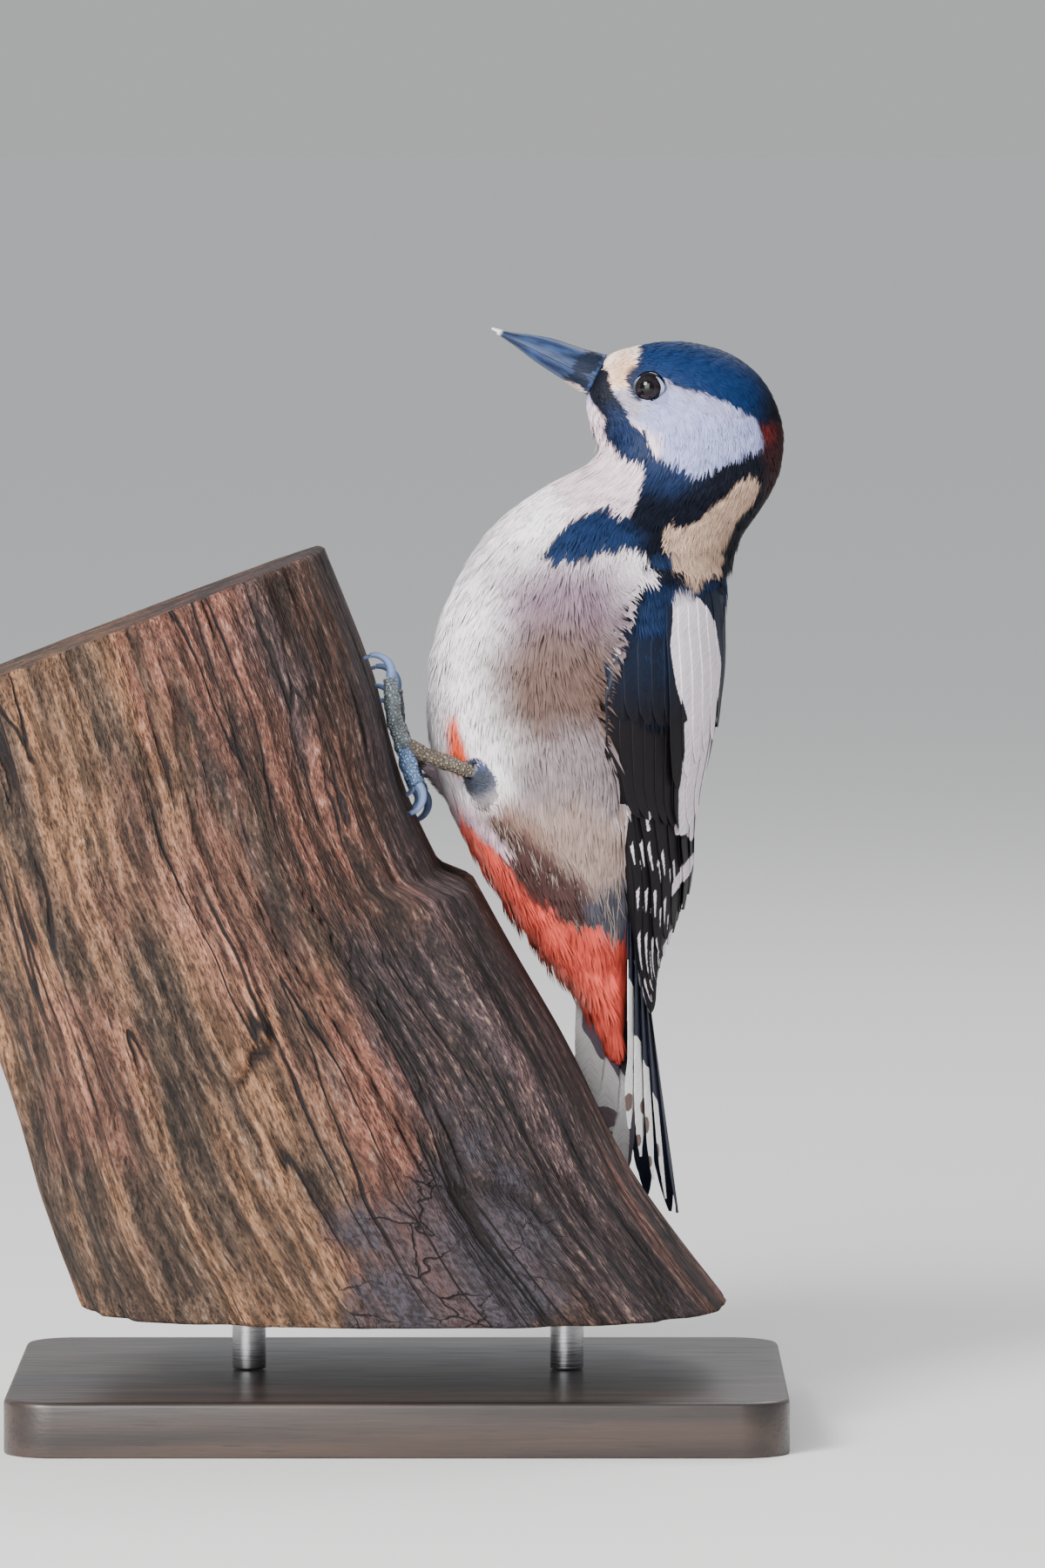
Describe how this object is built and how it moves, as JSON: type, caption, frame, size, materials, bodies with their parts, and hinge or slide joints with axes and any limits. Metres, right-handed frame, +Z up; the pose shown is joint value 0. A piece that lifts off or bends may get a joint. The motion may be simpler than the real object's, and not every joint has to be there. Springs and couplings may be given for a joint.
{
  "type": "great spotted woodpecker",
  "caption": "Life-size still model of a great spotted woodpecker clinging to a short leaning trunk, on a flat display stand.",
  "frame": {"origin": "middle of the stand base's underside", "axes": "+Z up; the bill points towards -X and up, the trunk leans towards -X, and the bird's left side faces -Y"},
  "size_m": [0.2113, 0.136, 0.2617],
  "materials": {
    "head_plumage": "short silky feathers, blue-black crown, white cheeks and red nape",
    "neck_plumage": "silky feathers, black with cream side patches and a white throat",
    "body_plumage": "soft feathers, off-white with buff flanks, black back and coral-red vent",
    "leg_plumage": "short soft feathers, off-white to blue-grey",
    "wing_feathers": "smooth vanes, blue-black with white shoulder patch and white bars",
    "tail_feathers": "stiff vanes, black in the middle, white with dark bars outside",
    "bill_horn": "slate-blue horn with a soft sheen",
    "eye": "glossy, very dark red-brown",
    "foot_skin": "blue-grey scaly skin",
    "claw_horn": "smooth grey horn, darker at the tip",
    "bare_wood": "weathered, bare, grey-brown with long grain and cracks",
    "stand_base": "dark stained, satin",
    "stand_rod": "brushed"
  },
  "bodies": {
    "root": {"head": "head_plumage", "neck": "neck_plumage", "torso": "body_plumage", "tail": "tail_feathers", "wing_left": "wing_feathers", "wing_right": "wing_feathers", "thigh_left": "leg_plumage", "thigh_right": "leg_plumage", "bill_upper": "bill_horn", "bill_lower": "bill_horn", "eye_left": "eye", "eye_right": "eye", "foot_left": "foot_skin", "foot_right": "foot_skin", "perch": "bare_wood", "stand_base": "stand_base", "stand_rod_1": "stand_rod", "stand_rod_2": "stand_rod", "claw_left_inner_front": "claw_horn", "claw_left_outer_front": "claw_horn", "claw_left_outer_back": "claw_horn", "claw_left_hind": "claw_horn", "claw_right_inner_front": "claw_horn", "claw_right_outer_front": "claw_horn", "claw_right_outer_back": "claw_horn", "claw_right_hind": "claw_horn"}
  },
  "joints": []
}
